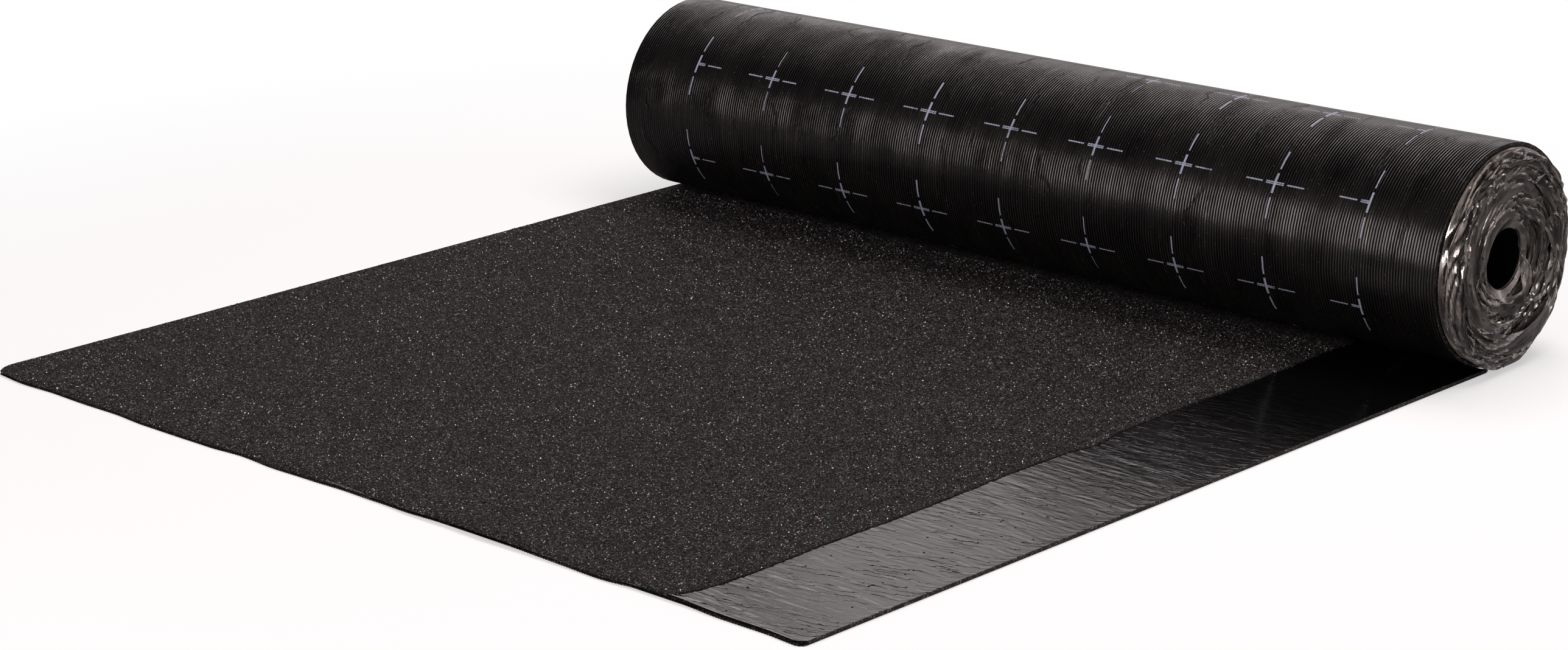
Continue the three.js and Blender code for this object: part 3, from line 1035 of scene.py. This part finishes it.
def film_band(name, seed, path, width, reach, flatter, stations, across):
    """A band of film that runs round the end in a spiral, leans in over the band inside it
    and is crushed: folded sharply along its length, and pleated where it is gathered. path
    gives the turns of felt passed on the way in at each of its own turns, and flatter by how
    much less it stands out in front and behind."""
    turn, inward, radius, arc = along_path(path, stations)
    s = np.linspace(0, 1, across)

    def wander(cell, kind, middle, spread):
        return middle + spread * line_noise(arc / cell, seed + kind, creased=True)

    width = width * wander(0.055, 1, 1.0, 0.22) * np.clip((turn - turn[0]) / 0.1, 0.02, 1)
    lean = wander(0.05, 2, 0.45, 0.35) + wander(0.06, 3, 1.15, 0.4) * s
    step = width / (across - 1)
    sideways = np.cumsum(np.sin(lean) * step, axis=1) - np.sin(lean[:, :1]) * step
    outward = np.cumsum(np.cos(lean) * step, axis=1) - np.cos(lean[:, :1]) * step

    free, over = np.minimum(1, s * 4), s * width
    lift = free * (folded(seed + 10, arc, over, BAND_FOLDS) + crumple(seed + 18, arc, over))
    along = free * folds(seed + 16, arc, over, 1.3, 30 * MM, 3.0 * MM, 0.2)
    outward = outward + lift * np.sin(lean)
    sideways = sideways - lift * np.cos(lean)
    x = reach * np.tanh(np.maximum(SEAT_GAP + 0.5 * MM + outward, SEAT_GAP) / reach)
    front, behind = flatter
    x = x * (1 - front * (1 - np.sin(TAU * turn)) / 2 - behind * (1 + np.sin(TAU * turn)) / 2)
    inset = np.minimum(np.maximum(0.2 * MM + sideways, 0.03 * x), radius - BORE_RADIUS)
    film_sheet(name, turn + along / (TAU * radius), inward, inset, x, arc, over)


RIBBON_STATIONS, RIBBON_COLUMNS = 300, 21  # stations in a whole turn


def film_ribbon(name, seed, path, width, height):
    """A loose fold of film that lies over the band: a long leaf, twisted along its length."""
    stations = round(RIBBON_STATIONS * (path[-1][0] - path[0][0]))
    turn, inward, radius, arc = along_path(path, stations)
    s = np.linspace(-0.5, 0.5, RIBBON_COLUMNS)
    share = np.linspace(0, 1, stations)[:, None]
    taper = np.maximum(0.02, np.sin(np.pi * share)) ** 0.4
    twist = 0.75 * line_noise(arc / 0.05, seed, creased=True)
    over = s * width * taper
    lift = folded(seed + 2, arc, over, RIBBON_FOLDS) + crumple(seed + 6, arc, over)
    rise = height * (0.5 + 0.5 * taper) + over * np.sin(twist) + lift * np.cos(twist)
    x = np.clip(rise, 1.5 * MM, FILM_REACH - 0.5 * MM)
    inset = -over * np.cos(twist) + lift * np.sin(twist)
    rim = radius - radius_at(turn % 1 / TURN_COUNT, HALF_WIDTH) + 2 * MM
    inset = np.clip(inset, rim, radius - BORE_RADIUS)
    film_sheet(name, turn, inward, inset, x, arc, over)


# Each ribbon's turns round the roll at its two ends, the turns of felt passed on the way in
# at both, its width and how far it stands out.
RIBBONS = [
    (0.46, 0.92, 3.2, 3.0, 26, 13), (0.60, 1.02, 4.5, 8.6, 22, 17), (0.84, 1.16, 2.8, 3.4, 26, 11),
    (0.80, 1.18, 7.4, 4.2, 20, 16), (0.10, 0.47, 3.4, 3.2, 20, 7), (0.30, 0.66, 3.4, 6.0, 22, 11),
    (0.02, 0.42, 7.6, 5.4, 20, 11), (0.42, 1.02, 10.4, 11.0, 17, 6),
    (0.02, 0.46, 9.4, 10.0, 18, 10), (0.70, 1.04, 5.6, 9.4, 20, 17),
    (-0.02, 0.40, 12.0, 12.0, 16, 6),
]


def build_film():
    outer, inner = [(0, 0.9), (1, 1.9), (4.4, 13.0)], [(0.3, 11.0), (2.3, 14.2)]
    film_band("release_film_folds", 200, outer, 40 * MM, FILM_REACH - MM, (0.15, 0.35), 1300, 33)
    film_band("release_film_inner", 400, inner, 20 * MM, 5 * MM, (0.6, 0.0), 560, 19)
    for i, (start, end, enters, leaves, width, height) in enumerate(RIBBONS):
        path = [(start, enters), (end, leaves)]
        film_ribbon(f"release_film_ribbon_{i}", 600 + 20 * i, path, width * MM, height * MM)


build_outer_turn()
build_inner_turns()
build_tail_back()
build_lap_strip()
build_granules()
build_chips()
build_film()

# ---------------------------------------------------------------- floor, light and air

FLOOR_SIZE = 14
WARM, WHITE = (1, 0.915, 0.92, 1), (1, 1, 1, 1)
ROOM_LIGHT = 0.3  # what the world sheds on the part


def grey(value):
    return (value, value, value, 1)


def ray_kinds(graph):
    """Whether a ray comes from the camera, and whether it comes off or through the part."""
    rays = graph.add("ShaderNodeLightPath").outputs
    mirrored, through = Wire(graph, rays["Is Glossy Ray"]), Wire(graph, rays["Is Transmission Ray"])
    return Wire(graph, rays["Is Camera Ray"]), mirrored.either(through)


def make_floor():
    """Pale, and for the camera it clears to the white background away from the part. What shines
    shows it darker, darker still past the roll's right end: a painted reflection.
    """
    made, graph = material("pale_floor")
    place = graph.add("ShaderNodeTexCoord").outputs["Object"]
    far = graph.add("ShaderNodeVectorMath", {0: place}, operation="LENGTH").outputs["Value"]
    right, *_ = graph.split(place)
    camera_ray, shiny_ray = ray_kinds(graph)
    clear = Wire(graph, far).ramp(0.6, 1.4, 0.5, 1.0) * camera_ray
    # Painted reflection: what shines shows the floor dark grey, and nearly black to the right,
    # under the film's end.
    mirrored = graph.mix(right.ramp(0.51, 0.62), grey(0.2), grey(0.04))
    seen = graph.mix(shiny_ray, grey(0.9), mirrored)
    matt = graph.add("ShaderNodeBsdfDiffuse", {"Color": seen})
    white = graph.add("ShaderNodeEmission", {"Color": WHITE, "Strength": 1.0})
    shader = graph.add("ShaderNodeMixShader", {0: clear, 1: matt.outputs[0], 2: white.outputs[0]})
    graph.finish(shader)
    half = FLOOR_SIZE / 2
    corners = [(-half, -half, 0), (half, -half, 0), (half, half, 0), (-half, half, 0)]
    floor = add_mesh("floor", corners, [(0, 1, 2, 3)], [made])


def softbox(name, place, aim, size, power, mirrored=True, only=None):
    """A panel that is only mirrored in what shines, or one that only lights the part. only is
    a collection of the pieces that it shines on."""
    data = bpy.data.lights.new(name, "AREA")
    data.shape, data.size, data.size_y = "RECTANGLE", *size
    data.energy, data.color = power, WARM[:3]
    lamp = bpy.data.objects.new(name, data)
    facing = (Vector(aim) - Vector(place)).to_track_quat("-Z", "Y").to_matrix().to_4x4()
    lamp.matrix_world = Matrix.Translation(place) @ facing
    lamp.visible_camera, lamp.visible_glossy, lamp.visible_diffuse = False, mirrored, not mirrored
    bpy.context.scene.collection.objects.link(lamp)
    lamp.light_linking.receiver_collection = only


def mirrored_room(graph, direction):
    """What shines in the part: a pale backdrop behind it, that is brightest at the height of
    the roll's top, and panels of light to its right."""
    right, back, up = graph.split(direction)
    backdrop = back.ramp(-0.1, 0.5, 0.07, 1.0)
    backdrop = backdrop * up.ramp(0.34, 0.46, 0.64, 2.1) * up.ramp(0.48, 0.7, 1.0, 0.06)
    backdrop = backdrop * (right.ramp(-0.62, -0.5, 0.8, 0.0) * up.ramp(0.38, 0.48) + 1.0)
    panels = graph.noise(direction, 0.22, 1).ramp(0.5, 0.64, 0.03, 3.5)
    panels = panels * up.ramp(0.35, 0.7, 1.0, 0.15)
    return backdrop + (panels - backdrop) * right.ramp(0.1, 0.35)


def make_world():
    """White to the camera, a dim room to the part, and another one in what shines."""
    world = bpy.data.worlds.new("studio")
    bpy.context.scene.world = world
    graph = Graph(world)
    room = mirrored_room(graph, graph.add("ShaderNodeTexCoord").outputs["Generated"])
    camera_ray, shiny_ray = ray_kinds(graph)
    strength = camera_ray * (1 - ROOM_LIGHT) + shiny_ray * (room - ROOM_LIGHT) + ROOM_LIGHT
    tint = graph.mix(camera_ray, WARM, WHITE)
    background = graph.add("ShaderNodeBackground", {"Color": tint, "Strength": strength})
    graph.finish(background, "ShaderNodeOutputWorld")


make_floor()
make_world()
ROLL_MIDDLE, END_MIDDLE = (MID_X, AXIS_Y, 0.1), (0.5, AXIS_Y, 0.1)
film_pieces = bpy.data.collections.new("film_pieces")
for piece in bpy.data.objects:
    if piece.name.startswith("release_film_"):
        film_pieces.objects.link(piece)
softbox("overhead", (0.3, 0.9, 2.6), (0, 0.1, 0), (2.6, 1.6), 67, mirrored=False)
softbox("fill", (0.6, -3.0, 1.5), (0, 0, 0), (2.5, 1.5), 55, mirrored=False)
softbox("front_left", (-1.9, -2.0, 0.85), ROLL_MIDDLE, (2.0, 1.1), 0.3)
softbox("front", (0.14, -1.95, 0.8), ROLL_MIDDLE, (1.5, 1.2), 33)
softbox("back", (-1.05, 1.45, 0.84), ROLL_MIDDLE, (0.3, 0.25), 0.12)
softbox("right", (2.6, 0.7, 1.3), END_MIDDLE, (0.5, 0.5), 12, only=film_pieces)
softbox("right_front", (1.9, -2.3, 1.4), END_MIDDLE, (1.1, 1.0), 240, only=film_pieces)
bpy.context.scene.view_settings.view_transform = "Standard"
